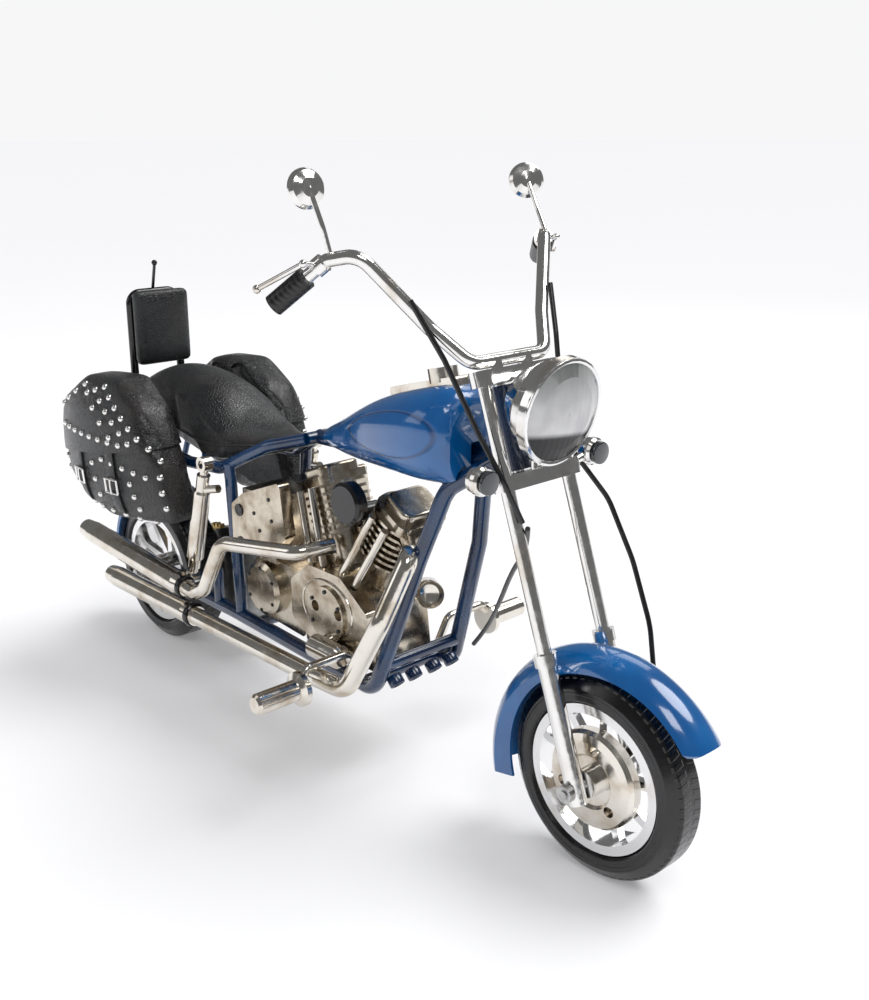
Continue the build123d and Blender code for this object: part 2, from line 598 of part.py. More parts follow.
def fender(centre, radius, half_width, wall, start, end):
    """A tinplate mudguard: a rounded crown with side walls, turned through an arc."""
    def arch(r, w, foot):
        shoulder = r - w * crown_drop
        crown = ThreePointArc((shoulder, -w), (r, 0), (shoulder, w))
        sides = Polyline((shoulder, w), (foot, w), (foot, -w), (shoulder, -w))
        return make_face(crown.edges() + sides.edges())
    section = arch(radius, half_width, radius - wall) - arch(radius - sheet, half_width - sheet, radius - wall - 1)
    plane = Plane(centre, x_dir=(math.cos(math.radians(start)), 0, math.sin(math.radians(start))),
                  z_dir=(-math.sin(math.radians(start)), 0, math.cos(math.radians(start))))
    return revolve(plane * section, Axis(tuple(centre), (0, -1, 0)), end - start)


front_fender_centre = Vector(137, 0, 31)
front_fender_radius = 48.5
front_fender_half = 10.6
front_fender_nose = 37.0       # angle of the front tip above level, degrees
front_guard = fender(front_fender_centre, front_fender_radius, front_fender_half, 16.0, front_fender_nose, 191.0)
skirt_centre = step(front_fender_centre, 6.0, 50)     # the skirts grow deeper towards the back
front_guard -= across(skirt_centre.X, skirt_centre.Z, 38.5, -20, 20)
nose_turn = front_fender_nose + math.degrees(math.asin(front_fender_half / front_fender_radius))
nose_centre = step(front_fender_centre, front_fender_radius, nose_turn)
nose_plane = Plane(nose_centre, x_dir=(0, 1, 0), z_dir=(nose_centre - front_fender_centre))
nose_radius = front_fender_half + 0.9    # a little wider than the guard, so its arc crosses the side walls
nose_cut = Pos(0, -14, 0) * Box(32, 28, 40) - Cylinder(nose_radius, 50)
front_guard -= nose_plane * nose_cut
lug_at = slider_length - 7.0
for side in (-1, 1):
    point = fork_point(lug_at, side * (fork_spacing - slider_radius))
    front_guard += rod(tuple(point), (point.X, side * 9.0, point.Z), 1.6)

rear_guard_centre = Vector(rear_axle.X, 0, 38.0)
rear_guard_radius = 40.5
rear_guard = fender(rear_guard_centre, rear_guard_radius, 12.6, 9.5, 62, 190)
for x in (-122.0, -148.0):
    drop = rear_guard_centre.Z + math.sqrt((rear_guard_radius - 8.6) ** 2 - (x - rear_guard_centre.X) ** 2)
    for side in (-1, 1):
        rear_guard += rod((x, side * 12.4, drop + 1), (x * 0.4 + -135 * 0.6, side * 18.6, 103.5), 1.5)
save("rear_fender", rear_guard - seat_rails)

# ----------------------------------------------------------------- fork and steering
stanchion_top = upper_clamp_at + clamp_thickness / 2 + 0.2
slider = rod(tuple(fork_point(-5.0, -fork_spacing)), tuple(fork_point(slider_length, -fork_spacing)), slider_radius)
slider += rod(tuple(fork_point(slider_length - 4, -fork_spacing)),
              tuple(fork_point(slider_length, -fork_spacing)), slider_radius + 0.7)
slider -= across(front_axle.X, front_axle.Z, front_axle_radius, -30, 0)
save("fork_sliders", both(slider))
save("front_fender", front_guard - slider - flipped(slider))
stanchion = rod(tuple(fork_point(slider_length, -fork_spacing)), tuple(fork_point(stanchion_top, -fork_spacing)),
                stanchion_radius)
save("fork_stanchions", both(stanchion))


def clamp(along, thickness):
    """A yoke that grips both fork legs and the steering stem."""
    plane = Plane(fork_point(along - thickness / 2), x_dir=(0, 1, 0), z_dir=fork_up)
    rings = [(-fork_spacing, 0, 4.4), (fork_spacing, 0, 4.4), (0, fork_offset, 5.6)]
    circles = Sketch() + [Pos(a, b) * Circle(r) for a, b, r in rings]
    yoke = make_hull(circles.edges())
    for side in (-1, 1):
        yoke -= Pos(side * fork_spacing, 0) * Circle(stanchion_radius)
    return plane * extrude(yoke, amount=thickness)


lower_yoke = clamp(lower_clamp_at, clamp_thickness)
lower_yoke += rod(tuple(steer_point(lower_clamp_at)), tuple(steer_point(upper_clamp_at + 3.4)), stem_radius)
save("lower_fork_clamp", lower_yoke)
upper_yoke = clamp(upper_clamp_at, clamp_thickness)
upper_yoke -= rod(tuple(steer_point(upper_clamp_at - 6)), tuple(steer_point(upper_clamp_at + 8)), stem_radius)
bar_radius = 2.3
riser_height = bar_radius + 0.6
bar_mid = fork_point(upper_clamp_at + clamp_thickness / 2 + riser_height, 0, -1.0)
for side in (-1, 1):
    foot = fork_point(upper_clamp_at, side * 7.0, -1.0)
    upper_yoke += rod(tuple(foot), tuple(foot + fork_up * (clamp_thickness / 2 + riser_height)), 2.6)
bar_low = Vector(bar_mid.X, 17, bar_mid.Z)
# The hand-bent ends differ: the right one droops more than the left one.
left_bar_top = Vector(62.0, 44.8, 202.6)
left_grip_way = Vector(-0.66, 0.62, -0.42).normalized()
right_bar = [(78.5, -26.0, 178.0), (64.5, -42.3, 200.6), (55.0, -47.5, 198.6), (41.5, -57.4, 185.0)]
left_bar = [(78.5, 26.0, 178.0), tuple(left_bar_top), tuple(left_bar_top + left_grip_way * 22.0)]
bar_points = list(reversed(right_bar)) + [tuple(bar_low - left * 34), tuple(bar_low)] + left_bar
handlebar = bent(bar_points, bar_radius, [5, 8, 14, 7, 7, 14, 5])
save("handlebar", handlebar)

grip_radius = 3.6
grip_length = 13.0
right_bar_end = Vector(*right_bar[-1])
right_grip_way = (right_bar_end - Vector(*right_bar[-2])).normalized()
left_bar_end = Vector(*left_bar[-1])
lever_radius = 0.9
mirror_radius = 6.4


def grip(bar_end, way):
    """A rubber grip over the end of the bar."""
    return rod(tuple(bar_end - way * grip_length), tuple(bar_end + way * 1.2), grip_radius)


def lever(perch, way, knee, tip):
    """A lever that swings out of a band around the bar."""
    band = rod(tuple(perch - way * 1.6), tuple(perch + way * 1.6), 3.2)
    arm = rod(tuple(perch), tuple(perch + knee), lever_radius) + Pos(*(perch + knee)) * Sphere(lever_radius + 0.4)
    arm += rod(tuple(perch + knee), tuple(tip), lever_radius)
    return band + arm + Pos(*tip) * Sphere(lever_radius + 0.5)


def mirror_piece(foot, bend_point, centre, facing):
    """A round mirror on a thin stalk."""
    head = turned([(0, -2.4), (3.0, -2.0), (5.4, -1.0), (mirror_radius, 0.4), (mirror_radius, 1.2), (0, 1.2)],
                  tuple(centre), tuple(facing))
    return head + bent([tuple(foot), tuple(bend_point), tuple(centre - facing)], 0.9, 6)


grips = [grip(right_bar_end, right_grip_way), grip(left_bar_end, left_grip_way)]
save("grips", Compound(children=[one - handlebar for one in grips]))
right_perch = Vector(53.4, -48.7, 197.0)
left_perch = left_bar_top + left_grip_way * 5.8
levers = [lever(right_perch, right_grip_way, Vector(-0.2, -6.5, 1.0), Vector(38.9, -62.8, 189.6)),
          lever(left_perch, left_grip_way, Vector(4.6, 2.0, 0.5), left_bar_end + Vector(5.0, 1.6, 2.0))]
save("levers", Compound(children=[one - handlebar for one in levers]))
mirror_sides = [mirror_piece(Vector(56.2, -46.8, 199.6), Vector(54.4, -48.2, 208.5), Vector(48.5, -49.2, 220.1),
                             Vector(-0.93, 0.12, -0.20).normalized()),
                mirror_piece(Vector(62.0, 45.0, 203.4), Vector(56.4, 47.2, 210.0), Vector(48.8, 49.2, 220.1),
                             Vector(-0.82, 0.52, -0.24).normalized())]
save("mirrors", Compound(children=[one - handlebar - arm for one, arm in zip(mirror_sides, levers)]))

lens_centre = Vector(111.2, 0, 152.8)
nod = math.radians(-9)
lamp_way = Vector(math.cos(nod), 0, math.sin(nod))
lamp_back = lens_centre - lamp_way * 19.0
lamp_radius = 17.8
bucket = turned([(0, 0), (5.5, 0.4), (9.5, 3.5), (12.6, 7.6), (15.4, 12.0), (16.6, 16.5), (lamp_radius, 16.8),
                 (lamp_radius, 20.2), (16.2, 20.2), (15.6, 17.5), (14.0, 13.0), (11.4, 8.8), (8.2, 5.2), (0, 2.6)],
                tuple(lamp_back), tuple(lamp_way))
ear = rod((101.5, 0, 141.0), (102.0, 0, 131.0), 2.2)
lamp_body = turned([(0, 0), (5.5, 0.4), (9.5, 3.5), (12.6, 7.6), (15.4, 12.0), (0, 20)], tuple(lamp_back),
                   tuple(lamp_way))
save("headlight_bucket", bucket + (ear - lower_yoke - lamp_body))
save("upper_fork_clamp", upper_yoke - handlebar - lamp_body)
lens = turned([(0, 17.6), (15.62, 17.6), (16.15, 20.0), (12.0, 21.4), (6.0, 22.3), (0, 22.6)],
              tuple(lamp_back), tuple(lamp_way))
save("headlight_lens", lens - bucket)

signal_at = Vector(102.3, -26.6, 133.6)
signal = turned([(0, -4.2), (2.6, -3.9), (4.3, -2.2), (4.8, 0), (4.8, 1.6), (4.2, 2.6), (0, 3.4)], tuple(signal_at),
                (1, 0, 0))
signal += rod(tuple(fork_point(lower_clamp_at + 1.0, -fork_spacing - 3.0)), tuple(signal_at), 1.5)
signal -= rod(tuple(fork_point(lower_clamp_at - 6, -fork_spacing)), tuple(fork_point(lower_clamp_at + 8, -fork_spacing)),
              stanchion_radius)
save("turn_signals", both(signal - lower_yoke))

axle_end = fork_spacing + slider_radius
front_shaft = across(front_axle.X, front_axle.Z, front_axle_radius, -axle_end - 3.0, axle_end + 3.0)
front_shaft += across(front_axle.X, front_axle.Z, 3.0, -axle_end - 2.4, -axle_end - 0.02)
front_shaft += across(front_axle.X, front_axle.Z, 3.0, axle_end + 0.02, axle_end + 2.4)
save("front_axle", front_shaft)
rear_shaft = across(rear_axle.X, rear_axle.Z, rear_axle_radius, -21.0, 34.0)
rear_shaft += across(rear_axle.X, rear_axle.Z, 3.2, rear_pinion_at[1] + 0.4, outer_plate[0] - 0.05)
rear_shaft += across(rear_axle.X, rear_axle.Z, 4.0, outer_plate[1] + 0.05, outer_plate[1] + 2.6)
rear_shaft += across(rear_axle.X, rear_axle.Z, 4.0, -rail_end_y - frame_tube - 2.6, -rail_end_y - frame_tube - 0.05)
save("rear_axle", rear_shaft)

# --------------------------------------------------------------------------- cables
cable_radius = 0.9
left_cable = bent([(76.6, 32.2, 187.0), (84.5, 27.0, 171.5), (91.0, 22.8, 153.0), (95.0, 24.0, 134.0),
                   (107.5, 30.5, 117.0), (118.0, 32.0, 97.0), (127.5, 31.0, 76.0), (134.0, 27.0, 56.0),
                   (137.0, 21.4, 38.0)], cable_radius, [14, 24, 18, 22, 40, 40, 26])
right_cable = bent([(76.6, -32.2, 187.0), (86.0, -26.5, 169.0), (96.5, -22.0, 147.0), (105.8, -20.0, 133.0),
                    (110.2, -15.4, 119.2)], cable_radius, [14, 24, 12])
save("control_cables", Compound(children=[left_cable, right_cable]))
brake_cable = bent([(110.3, -13.0, 116.8), (103.0, -5.0, 106.0), (88.0, 4.0, 92.0), (72.0, 14.5, 72.0),
                    (57.0, 24.0, 55.0), (48.5, 25.0, 45.0)], cable_radius, [14, 30, 40, 20])
save("brake_cable", brake_cable - parts["downtubes"] - rails)

# ----------------------------------------------------------------------- side stand
foot_point = Vector(-40.0, 42.0, 1.2)
stand = across(stand_x, stand_z, 3.2, stand_y, stand_y + 3.0)
stand += rod((stand_x, stand_y + 1.5, stand_z), tuple(foot_point), 1.6)
stand += Pos(foot_point.X, foot_point.Y, 0.8) * Cylinder(3.4, 1.6)
stand -= across(stand_x, stand_z, stand_pin + running_clearance, stand_y - 1, stand_y + 4)
save("side_stand", stand)

# --------------------------------------------------------------------------- output
os.makedirs("parts", exist_ok=True)
for name, shape in parts.items():
    export_step(shape, f"parts/{name}.step")
    print(name, len(shape.solids()), round(shape.volume, 1))
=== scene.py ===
# %% [markdown]
# # Tin wind-up motorcycle: the looks
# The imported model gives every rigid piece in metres, with each piece's place in its mesh.
# This script lights it, gives each piece its finish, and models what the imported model
# leaves plain: the leather goods with their studs and straps, the glass, the small
# fasteners and the cable that crosses the steering joint.

# %% Load the frame
import json
import math
import bpy
from mathutils import Matrix, Vector
from mathutils.bvhtree import BVHTree


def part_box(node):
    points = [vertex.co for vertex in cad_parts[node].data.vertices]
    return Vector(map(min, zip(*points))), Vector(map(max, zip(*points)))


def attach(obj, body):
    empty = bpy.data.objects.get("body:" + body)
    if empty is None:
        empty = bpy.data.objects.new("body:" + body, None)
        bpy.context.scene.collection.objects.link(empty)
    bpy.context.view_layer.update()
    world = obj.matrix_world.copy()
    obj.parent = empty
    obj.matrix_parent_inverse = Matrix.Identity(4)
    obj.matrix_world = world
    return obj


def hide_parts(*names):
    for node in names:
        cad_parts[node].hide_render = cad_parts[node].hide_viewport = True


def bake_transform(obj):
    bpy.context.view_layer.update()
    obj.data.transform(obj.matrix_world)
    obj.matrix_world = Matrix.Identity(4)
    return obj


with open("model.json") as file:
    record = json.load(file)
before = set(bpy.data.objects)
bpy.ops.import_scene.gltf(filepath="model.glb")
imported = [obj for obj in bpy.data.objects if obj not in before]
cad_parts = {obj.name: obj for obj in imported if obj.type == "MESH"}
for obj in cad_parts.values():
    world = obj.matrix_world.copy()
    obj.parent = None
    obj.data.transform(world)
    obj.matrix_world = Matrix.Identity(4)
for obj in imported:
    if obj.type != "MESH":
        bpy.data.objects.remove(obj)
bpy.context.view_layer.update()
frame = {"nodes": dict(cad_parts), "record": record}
nodes = frame["nodes"]
MM = 0.001
print("pieces in the frame:", len(nodes))


# %% [markdown]
# Each new piece is picked alone, settled into its place, given its finish and its body.

# %% Small helpers
def deselect():
    """Nothing is selected, so that the next operator acts on one piece only."""
    bpy.ops.object.select_all(action="DESELECT")


def pick(piece):
    deselect()
    piece.select_set(True)
    bpy.context.view_layer.objects.active = piece


def settle(piece, name, body, material, smooth=35):
    """Put the piece's place in its mesh, name it, and let it ride on its body."""
    pick(piece)
    bpy.ops.object.transform_apply(location=True, rotation=True, scale=True)
    if smooth:
        bpy.ops.object.shade_smooth_by_angle(angle=math.radians(smooth))
    piece.name = name
    piece.data.name = name
    piece.data.materials.clear()
    piece.data.materials.append(material)
    if body:
        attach(piece, body)
    print("made", name, len(piece.data.polygons), "faces")
    return piece


def modifier(piece, kind, **settings):
    """Add a modifier and apply it at once."""
    pick(piece)
    made = piece.modifiers.new(kind.title(), kind)
    for key, value in settings.items():
        setattr(made, key, value)
    bpy.ops.object.modifier_apply(modifier=made.name)


def joined(pieces):
    """Several pieces as one object."""
    deselect()
    for piece in pieces:
        piece.select_set(True)
    bpy.context.view_layer.objects.active = pieces[0]
    bpy.ops.object.join()
    return bpy.context.view_layer.objects.active


def placed(template, spots):
    """Copies of a template, each with its own mesh, turned so that its Z is the normal."""
    copies = []
    for place, normal in spots:
        copy = bpy.data.objects.new("copy", template.data.copy())
        bpy.context.scene.collection.objects.link(copy)
        turn = Vector(normal).to_track_quat("Z", "Y").to_matrix().to_4x4()
        copy.data.transform(Matrix.Translation(place) @ turn)
        copies.append(copy)
    bpy.data.objects.remove(template)
    return joined(copies)


# %% [markdown]
# ## Camera and light
# The camera stands ahead of the bike on its right side, a little above it, and looks
# back and down. Soft panels light a pale floor.

# %% Camera
turn = math.radians(47.16)
pitch = math.radians(17.34)
forward = Vector((-math.sin(turn) * math.cos(pitch), math.cos(turn) * math.cos(pitch), -math.sin(pitch)))
right = Vector((math.cos(turn), math.sin(turn), 0.0))
up = right.cross(forward)
lens = bpy.data.cameras.new("camera")
lens.lens = 42.39
lens.sensor_width = 36.0
lens.clip_start = 0.01
camera = bpy.data.objects.new("camera", lens)
camera.matrix_world = Matrix((right, up, -forward)).transposed().to_4x4()
camera.location = Vector((0.34892, -0.27450, 0.23646))
bpy.context.scene.collection.objects.link(camera)
bpy.context.scene.camera = camera
bpy.context.scene.view_settings.view_transform = "Standard"
print("camera looks along", [round(c, 3) for c in forward])


# %% [markdown]
# ## Shader maths
# One class wraps a socket, so that a pattern reads as an ordinary expression. A function,
# `add_node`, adds any other node: its type, its settings, then its inputs.

# %% The socket class
class Wire:
    """A socket of a node tree that adds, multiplies and compares like a number."""

    def __init__(self, tree, socket):
        self.tree = tree
        self.socket = socket

    def math(self, operation, *others):
        made = self.tree.nodes.new("ShaderNodeMath")
        made.operation = operation
        for k, value in enumerate((self,) + others):
            feed(self.tree, made.inputs[k], value)
        return Wire(self.tree, made.outputs[0])

    def __add__(self, other):
        return self.math("ADD", other)

    def __radd__(self, other):
        return self.math("ADD", other)

    def __sub__(self, other):
        return self.math("SUBTRACT", other)

    def __rsub__(self, other):
        return (self * -1.0).math("ADD", other)

    def __mul__(self, other):
        return self.math("MULTIPLY", other)

    def __rmul__(self, other):
        return self.math("MULTIPLY", other)

    def __truediv__(self, other):
        return self.math("DIVIDE", other)

    def smooth(self, low, high, to_low=0.0, to_high=1.0):
        """A smooth ramp from one value to another between two limits."""
        made = self.tree.nodes.new("ShaderNodeMapRange")
        made.interpolation_type = "SMOOTHSTEP"
        for key, value in zip((0, 1, 2, 3, 4), (self, low, high, to_low, to_high)):
            feed(self.tree, made.inputs[key], value)
        return Wire(self.tree, made.outputs[0])

    def mix(self, first, second):
        """A colour between two, by this value."""
        made = self.tree.nodes.new("ShaderNodeMix")
        made.data_type = "RGBA"
        feed(self.tree, made.inputs[0], self)
        feed(self.tree, made.inputs[6], first)
        feed(self.tree, made.inputs[7], second)
        return Wire(self.tree, made.outputs[2])


def feed(tree, socket, value):
    """Set a socket's value, or link a wire to it."""
    if isinstance(value, Wire):
        tree.links.new(value.socket, socket)
    elif isinstance(value, (tuple, list)) and len(value) == 3 and socket.type == "RGBA":
        socket.default_value = (*value, 1.0)
    else:
        socket.default_value = value


def add_node(tree, kind, settings=None, out=0, **inputs):
    made = tree.nodes.new("ShaderNode" + kind)
    for key, value in (settings or {}).items():
        setattr(made, key, value)
    for key, value in inputs.items():
        feed(tree, made.inputs[key.replace("_", " ")], value)
    return Wire(tree, made.outputs[out])


class Finish:
    """A new material with its place (x, y, z) and its Principled shader at hand."""

    def __init__(self, name):
        self.material = bpy.data.materials.new(name)
        self.material.use_nodes = True
        self.tree = self.material.node_tree
        self.shader = next(n for n in self.tree.nodes if n.type == "BSDF_PRINCIPLED")
        self.place = add_node(self.tree, "TexCoord", out=3)
        split = self.tree.nodes.new("ShaderNodeSeparateXYZ")
        feed(self.tree, split.inputs[0], self.place)
        self.x, self.y, self.z = (Wire(self.tree, split.outputs[k]) for k in range(3))

    def noise(self, scale, detail=4.0, roughness=0.6):
        return add_node(self.tree, "TexNoise", out=0, Vector=self.place, Scale=scale, Detail=detail,
                        Roughness=roughness)

    def cells(self, scale, feature="DISTANCE_TO_EDGE"):
        return add_node(self.tree, "TexVoronoi", {"feature": feature}, 0, Vector=self.place, Scale=scale)

    def bump(self, height, strength=0.3, distance=0.0003):
        return add_node(self.tree, "Bump", out=0, Height=height, Strength=strength, Distance=distance)

    def set(self, **inputs):
        for key, value in inputs.items():
            feed(self.tree, self.shader.inputs[key.replace("_", " ")], value)
        return self.material


# %% [markdown]
# ## Finishes
# The enamel is a stoved gloss with a clear top and slight pooling. The plated pieces are
# bright, but smeared and warmer where the plating is thin. Leather has grain and creases.

# %% Enamel
def enamel(name, pale, deep, roughness):
    f = Finish(name)
    cloud = f.noise(34.0, 3.0).smooth(0.35, 0.7)
    dust = f.noise(900.0, 2.0).smooth(0.52, 0.75)
    colour = cloud.mix(deep, pale)
    return f.set(Base_Color=colour, Roughness=cloud * 0.08 + dust * 0.05 + roughness,
                 Coat_Weight=1.0, Coat_Roughness=0.06, Normal=f.bump(f.noise(160.0, 2.0), 0.12, 0.0004))


def tank_enamel():
    """The tank's blue, with a fine pressed line in a teardrop on each side, its groove darkened with painted
    shade.
    """
    f = Finish("tank_enamel")
    along = (f.x - 0.047) / 0.024
    tall = (f.z - 0.137 - along * 0.0030) / (0.0078 + along * 0.0022)
    ring = (along * along + tall * tall).math("SQRT")
    line = (ring - 1.0).math("ABSOLUTE").smooth(0.0, 0.07, 1.0, 0.0)
    side = f.y.math("ABSOLUTE").smooth(0.008, 0.012)
    line = line * side
    cloud = f.noise(34.0, 3.0).smooth(0.35, 0.7)
    blue = cloud.mix((0.0, 0.090, 0.30), (0.001, 0.125, 0.38))
    # painted shade: the pressed line's groove is darkened in the colour
    blue = (line * 0.75).mix(blue, (0.0, 0.03, 0.12))
    return f.set(Base_Color=blue, Roughness=cloud * 0.08 + 0.16, Coat_Weight=1.0, Coat_Roughness=0.05,
                 Normal=f.bump(f.noise(160.0, 2.0) * 0.25 - line, 0.5, 0.0006))


# %% [markdown]
# Plate is bright, with smears, pin holes and a warmer tone where it is thin. Cut metal shows fine lines.

# %% Plated metal
def plated(name, bright, tint, roughness, tint_share=0.5, scale=70.0):
    """Nickel or chrome plate: smears, pin holes and a warmer tone in patches."""
    f = Finish(name)
    patch = f.noise(scale, 4.0, 0.55).smooth(0.62 - tint_share * 0.3, 0.78)
    smear = f.noise(260.0, 3.0).smooth(0.4, 0.75)
    pits = f.cells(1500.0, "F1").smooth(0.0, 0.16, 1.0, 0.0) * f.noise(300.0).smooth(0.55, 0.7)
    colour = pits.mix(patch.mix(bright, tint), (0.06, 0.05, 0.045))
    return f.set(Base_Color=colour, Metallic=1.0, Roughness=smear * 0.12 + patch * 0.06 + roughness,
                 Normal=f.bump(f.noise(220.0, 2.0), 0.10, 0.0005))


def turned_metal(name, colour, dark, roughness):
    """Cut or rolled metal: fine lines across and darker edges of wear."""
    f = Finish(name)
    lines = add_node(f.tree, "TexNoise", out=0, Vector=add_node(f.tree, "Mapping", out=0, Vector=f.place,
                     Scale=(900.0, 60.0, 900.0)), Scale=1.0, Detail=3.0)
    worn = f.noise(120.0).smooth(0.45, 0.7)
    return f.set(Base_Color=worn.mix(colour, dark), Metallic=1.0, Roughness=lines * 0.2 + roughness,
                 Normal=f.bump(lines, 0.15, 0.0002))


# %% [markdown]
# Tyres have rings on the walls and bars on the tread. Paint and rubber are near black. The lamp
# glass is silvery grey, darker towards the top, with a painted dark reflection in its lower part.

# %% Rubber, paint and glass
def tyre_rubber(name, axle, width):
    """Glossy black rubber with rings on the walls and cut bars on the tread."""
    f = Finish(name)
    x, z = f.x - axle[0], f.z - axle[1]
    reach = (x * x + z * z).math("SQRT")
    rings = (reach * 2600.0).math("SINE").smooth(0.2, 0.9)
    rings = rings * reach.smooth(0.0278, 0.029) * reach.smooth(0.0318, 0.031)
    wall = f.y.math("ABSOLUTE").smooth(width * 0.42, width * 0.48)
    angle = z.math("ARCTAN2", x)
    slant = f.y.math("ABSOLUTE") * 420.0
    bars = (angle * 64.0 + slant).math("SINE").smooth(-0.5, 0.1, 0.0, 1.0)
    centre = f.y.math("ABSOLUTE").smooth(0.0006, 0.0011)
    tread = reach.smooth(0.0338, 0.0344)
    height = rings * wall * 0.35 + bars * centre * tread
    dust = f.noise(90.0).smooth(0.45, 0.75)
    colour = dust.mix((0.003, 0.003, 0.0035), (0.009, 0.0095, 0.011))
    return f.set(Base_Color=colour, Roughness=dust * 0.12 + 0.24, Coat_Weight=0.25, Coat_Roughness=0.2,
                 Normal=f.bump(height + f.noise(800.0, 2.0) * 0.05, 0.8, 0.0006))


def black_gloss(name, roughness, grain=500.0, ribs=0.0):
    f = Finish(name)
    wear = f.noise(140.0).smooth(0.5, 0.75)
    height = f.noise(grain, 2.0) * 0.3
    if ribs:
        height = height + ((f.x * 0.62 + f.z * 0.64) * ribs).math("SINE")
    return f.set(Base_Color=wear.mix((0.003, 0.003, 0.004), (0.010, 0.011, 0.013)),
                 Roughness=wear * 0.15 + roughness,
                 Coat_Weight=0.3, Coat_Roughness=0.12, Normal=f.bump(height, 0.4, 0.0003))


def lamp_glass():
    """Thick moulded lamp glass: silvery grey, darker towards the top, with a painted dark reflection in its
    lower third.
    """
    f = Finish("lamp_glass")
    # painted reflection: the lower third is coloured near black for a dark reflection, with less coat there
    dark = (f.z - 0.1455 + f.y * 0.10).smooth(-0.0012, 0.0012, 1.0, 0.0)
    cloud = f.noise(60.0, 2.0).smooth(0.35, 0.7)
    high = f.z.smooth(0.150, 0.169)
    grey = cloud.mix((0.42, 0.42, 0.43), (0.62, 0.62, 0.62))
    # darker towards the top of the glass
    grey = (high * 0.75).mix(grey, (0.11, 0.13, 0.115))
    flutes = (f.y * 2400.0).math("SINE")
    return f.set(Base_Color=dark.mix(grey, (0.004, 0.004, 0.005)), Metallic=0.35 - dark * 0.35,
                 Roughness=cloud * 0.08 + 0.1 + dark * 0.3, Coat_Weight=0.9 - dark * 0.85,
                 Coat_Roughness=0.02, Normal=f.bump(flutes, 0.10, 0.0002))


def coloured_glass(name, colour):
    f = Finish(name)
    cloud = f.noise(300.0, 2.0).smooth(0.3, 0.7)
    return f.set(Base_Color=cloud.mix(colour, tuple(c * 0.6 for c in colour)),
                 Roughness=cloud * 0.05 + 0.08,
                 Coat_Weight=1.0, Coat_Roughness=0.02)


# %% [markdown]
# The grain is small cells, the creases are a coarser noise, and paler teal patches of noise are partly rubbed
# wear and partly painted sheen.

# %% Leather
def leather(name, dark, light, tint, grain=900.0, gloss=0.36):
    """Soft dyed leather: pebbled grain, creases, and paler patches that are partly rubbed wear and partly
    painted sheen.
    """
    f = Finish(name)
    pebble = f.cells(grain).smooth(0.0, 0.22)
    crease = f.noise(130.0, 6.0, 0.7)
    wear_and_sheen = f.noise(42.0, 3.0).smooth(0.42, 0.68)
    hue = f.noise(23.0, 2.0).smooth(0.4, 0.62)
    # painted sheen: the paler teal patches stand partly for rubbed wear and partly for the leather's sheen
    colour = (wear_and_sheen * 0.75).mix(dark, hue.mix(light, tint))
    height = pebble * 0.45 + crease
    return f.set(Base_Color=colour, Roughness=pebble * -0.08 + wear_and_sheen * 0.10 + gloss, Coat_Weight=0.15,
                 Coat_Roughness=0.3, Sheen_Weight=0.08, Normal=f.bump(height, 0.55, 0.0005))


# %% [markdown]
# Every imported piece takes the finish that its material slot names.

# %% Make each finish and give it to its nodes
chrome = plated("chrome", (0.86, 0.86, 0.86), (0.70, 0.66, 0.60), 0.10, 0.2)
fork_chrome = plated("fork_chrome", (0.86, 0.85, 0.83), (0.66, 0.59, 0.50), 0.10, 0.35, 50.0)
warm_nickel = plated("warm_nickel", (0.80, 0.76, 0.69), (0.50, 0.40, 0.28), 0.12, 0.6)
engine_nickel = plated("engine_nickel", (0.66, 0.60, 0.50), (0.26, 0.19, 0.12), 0.17, 0.9, 95.0)
blue = enamel("blue_enamel", (0.001, 0.125, 0.38), (0.0, 0.080, 0.27), 0.16)
dark_blue = enamel("frame_enamel", (0.0, 0.040, 0.13), (0.0, 0.014, 0.055), 0.2)
tank_blue = tank_enamel()
brass = turned_metal("brass", (0.72, 0.52, 0.22), (0.45, 0.30, 0.10), 0.22)
steel = turned_metal("steel", (0.62, 0.62, 0.62), (0.36, 0.35, 0.34), 0.25)
spring_steel = turned_metal("spring_steel", (0.16, 0.20, 0.30), (0.08, 0.09, 0.13), 0.25)
tinplate = turned_metal("tinplate", (0.68, 0.69, 0.69), (0.48, 0.47, 0.45), 0.24)
black_paint = black_gloss("black_paint", 0.2)
grip_black = black_gloss("grip_rubber", 0.42, 900.0, ribs=4200.0)
cable_black = black_gloss("cable_black", 0.35, 1500.0)
glass = lamp_glass()
seat_leather = leather("seat_leather", (0.003, 0.004, 0.005), (0.022, 0.031, 0.031), (0.034, 0.025, 0.021))
bag_leather = leather("bag_leather", (0.002, 0.0025, 0.003), (0.010, 0.017, 0.019), (0.020, 0.015, 0.013),
                      1100.0, 0.27)

by_slot = {"wheel_chrome": chrome, "bright_nickel": warm_nickel, "fork_chrome": fork_chrome, "brass": brass,
           "steel": steel, "nickel_key": warm_nickel, "spring_steel": spring_steel, "tinplate": tinplate,
           "blue_enamel": blue, "frame_enamel": dark_blue, "engine_nickel": engine_nickel,
           "black_paint": black_paint, "seat_leather": seat_leather, "bag_leather": bag_leather,
           "grip_rubber": grip_black, "cable_black": cable_black, "lamp_glass": glass}
finish_of = {row["node"]: by_slot.get(row["material_slot"]) for row in frame["record"]["subparts"]}
finish_of["fuel_tank"] = tank_blue
for wheel, width in (("front", 0.015), ("rear", 0.020)):
    low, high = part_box(wheel + "_tyre")
    axle = ((low.x + high.x) / 2, (low.z + high.z) / 2)
    finish_of[wheel + "_tyre"] = tyre_rubber(wheel + "_tyre_rubber", axle, width)
for name, node in nodes.items():
    node.data.materials.clear()
    node.data.materials.append(finish_of[name])
print("finishes given to", len(finish_of), "nodes")

# %% [markdown]
# A pale floor fades into a pale room. Mirrored rays see a dimmer room, so that the plating keeps
# its contrast.

